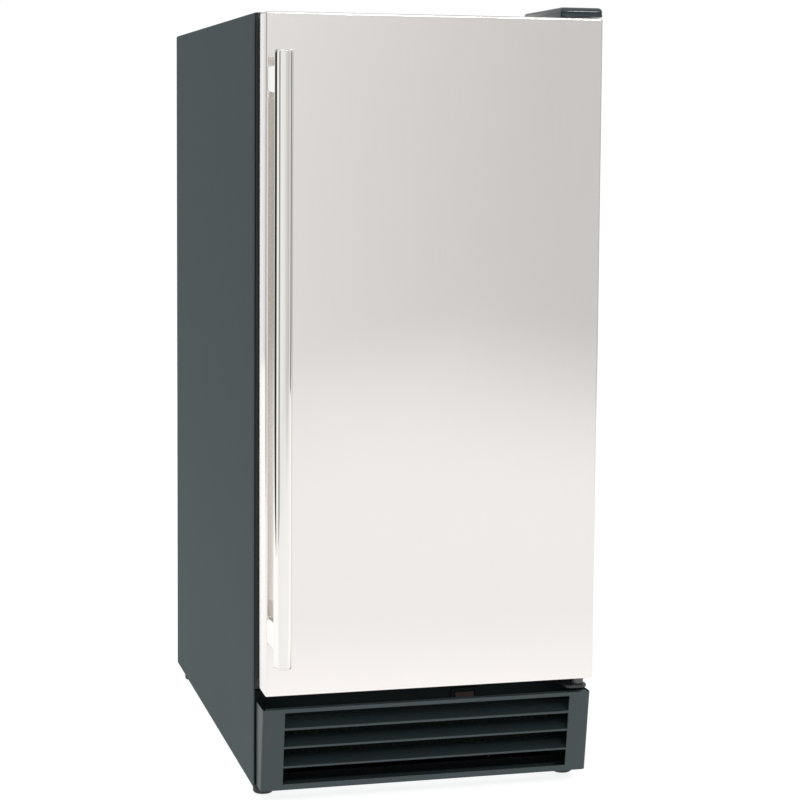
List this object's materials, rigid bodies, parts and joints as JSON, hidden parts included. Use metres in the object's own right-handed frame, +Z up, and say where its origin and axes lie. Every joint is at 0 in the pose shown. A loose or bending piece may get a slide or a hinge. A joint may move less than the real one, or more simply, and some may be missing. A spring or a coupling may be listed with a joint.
{
  "type": "undercounter ice maker",
  "caption": "Front-breathing undercounter ice maker: insulated bin behind a hinged stainless door, vertical freezing plate, and a machine compartment behind a louvred toe grille.",
  "frame": {"origin": "on the floor under the middle of the closed object", "axes": "+X to the right as seen from the front, -Y out of the door, +Z up"},
  "size_m": [0.371, 0.6755, 0.8508],
  "materials": {
    "cabinet_paint": "satin powder coat with a fine texture",
    "brushed_stainless": "brushed stainless sheet, grain across the door",
    "polished_chrome": "polished",
    "grille_plastic": "fine moulded texture",
    "black_plastic": "satin",
    "gasket_rubber": "matt",
    "liner_plastic": "vacuum-formed, satin",
    "insulation": null,
    "zinc_steel": "zinc-plated sheet",
    "compressor_black": "gloss enamel",
    "copper": "drawn copper",
    "aluminium_fin": "mill finish",
    "nickel_plate": "nickel-plated copper",
    "clear_plastic": "translucent",
    "silicone_hose": "translucent",
    "scoop_plastic": "translucent blue-white",
    "foot_plastic": "ribbed"
  },
  "bodies": {
    "cabinet": {"base_pan": "zinc_steel", "bin_drain_strainer": "black_plastic", "cabinet_shell": "cabinet_paint", "compressor": "compressor_black", "compressor_base": "zinc_steel", "compressor_terminal_cover": "black_plastic", "condenser": "aluminium_fin", "control_box": "black_plastic", "discharge_line": "copper", "drain_outlet_fitting": "zinc_steel", "drain_tube": "silicone_hose", "evaporator_bracket_left": "zinc_steel", "evaporator_bracket_right": "zinc_steel", "evaporator_coil": "copper", "evaporator_plate": "nickel_plate", "fan_motor": "zinc_steel", "fan_shroud": "black_plastic", "filter_drier": "copper", "front_frame": "black_plastic", "front_rail": "black_plastic", "hot_gas_valve": "zinc_steel", "ice_level_sensor": "copper", "inner_liner": "liner_plastic", "insulation_foam": "insulation", "lower_hinge_bracket": "black_plastic", "lower_hinge_pin": "zinc_steel", "power_inlet": "black_plastic", "pump_hose": "silicone_hose", "pump_housing": "black_plastic", "pump_motor": "black_plastic", "rear_access_panel": "zinc_steel", "rear_panel": "zinc_steel", "scoop_holder": "liner_plastic", "suction_line": "copper", "switch_bezel": "black_plastic", "toe_grille": "grille_plastic", "upper_hinge_bracket": "zinc_steel", "upper_hinge_cover": "black_plastic", "upper_hinge_pin": "zinc_steel", "water_distributor": "clear_plastic", "water_inlet_fitting": "zinc_steel", "water_inlet_valve": "liner_plastic", "water_supply_tube": "silicone_hose", "water_trough": "liner_plastic"},
    "door": {"door_skin": "brushed_stainless", "door_core": "insulation", "door_liner": "liner_plastic", "door_gasket": "gasket_rubber", "handle_bar": "polished_chrome", "handle_post_upper": "polished_chrome", "handle_post_lower": "polished_chrome"},
    "fan": {"fan_blades": "black_plastic"},
    "impeller": {"pump_impeller": "black_plastic"},
    "curtain": {"water_curtain": "clear_plastic"},
    "rocker": {"rocker_switch": "black_plastic"},
    "scoop": {"ice_scoop": "scoop_plastic"},
    "foot_front_left": {"leg_front_left": "foot_plastic"},
    "foot_front_right": {"leg_front_right": "foot_plastic"},
    "foot_rear_left": {"leg_rear_left": "foot_plastic"},
    "foot_rear_right": {"leg_rear_right": "foot_plastic"}
  },
  "joints": [
    {"name": "door_hinge", "type": "hinge", "parent": "cabinet", "child": "door", "pos_m": [0.17, -0.258, 0.1232], "axis": [0, 0, 1], "range_deg": [0, 120]},
    {"name": "fan_spin", "type": "hinge", "parent": "cabinet", "child": "fan", "pos_m": [-0.035, -0.139, 0.073], "axis": [0, 1, 0], "continuous": true},
    {"name": "impeller_spin", "type": "hinge", "parent": "cabinet", "child": "impeller", "pos_m": [0.09, 0.245, 0.48], "axis": [0, 0, 1], "continuous": true},
    {"name": "curtain_swing", "type": "hinge", "parent": "cabinet", "child": "curtain", "pos_m": [0, 0.15, 0.738], "axis": [-1, 0, 0], "range_deg": [0, 45]},
    {"name": "switch_rock", "type": "hinge", "parent": "cabinet", "child": "rocker", "pos_m": [0.05, -0.2252, 0.0995], "axis": [0, 0, 1], "range_deg": [-8, 8]},
    {"name": "scoop_lift", "type": "slide", "parent": "cabinet", "child": "scoop", "axis": [0, 0, 1], "range_m": [0, 0.12]},
    {"name": "foot_front_left_screw", "type": "slide", "parent": "cabinet", "child": "foot_front_left", "axis": [0, 0, -1], "range_m": [0, 0.015]},
    {"name": "foot_front_right_screw", "type": "slide", "parent": "cabinet", "child": "foot_front_right", "axis": [0, 0, -1], "range_m": [0, 0.015]},
    {"name": "foot_rear_left_screw", "type": "slide", "parent": "cabinet", "child": "foot_rear_left", "axis": [0, 0, -1], "range_m": [0, 0.015]},
    {"name": "foot_rear_right_screw", "type": "slide", "parent": "cabinet", "child": "foot_rear_right", "axis": [0, 0, -1], "range_m": [0, 0.015]}
  ]
}
